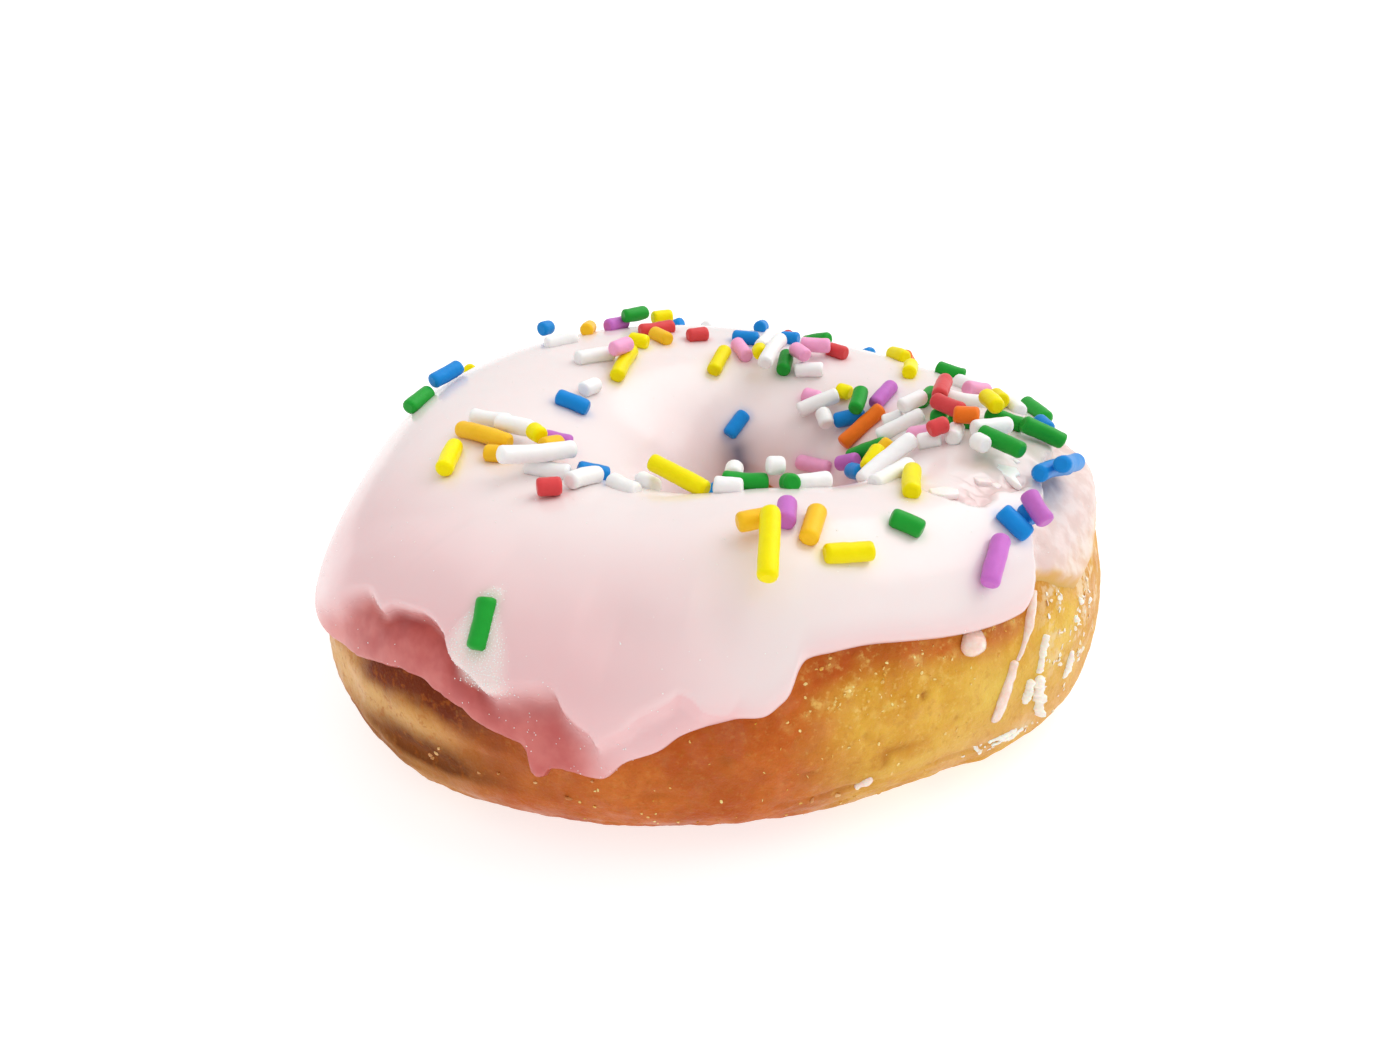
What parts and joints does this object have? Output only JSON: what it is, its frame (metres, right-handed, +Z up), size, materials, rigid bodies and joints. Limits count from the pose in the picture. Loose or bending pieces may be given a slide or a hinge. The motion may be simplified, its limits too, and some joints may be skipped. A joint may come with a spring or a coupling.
{
  "type": "sprinkle frosted doughnut",
  "caption": "Uneven fried ring doughnut with a thick wavy cap of pale pink icing that hangs lower at the front left, strewn with rod-shaped sugar sprinkles in many colours.",
  "frame": {"origin": "on the surface that the doughnut rests on, under the middle of the whole doughnut", "axes": "+Z up, -Y towards the side where the icing hangs lowest and the picture looks from, +X towards its heap of sprinkles"},
  "size_m": [0.0862, 0.0795, 0.0325],
  "materials": {
    "fried_dough": "fine-pored fried crust, golden at the right and reddish brown at the front left, slightly oily",
    "pink_icing": "glossy, slightly translucent sugar icing, with a rough smear at the right",
    "white_sprinkles": "satin sugar",
    "yellow_sprinkles": "satin sugar",
    "green_sprinkles": "satin sugar",
    "blue_sprinkles": "satin sugar",
    "orange_sprinkles": "satin sugar",
    "red_sprinkles": "satin sugar",
    "pink_sprinkles": "satin sugar",
    "purple_sprinkles": "satin sugar",
    "sugar_glaze": "thin dried glaze, crystals and crumbs"
  },
  "bodies": {
    "root": {"dough": "fried_dough", "icing": "pink_icing"}
  },
  "joints": []
}
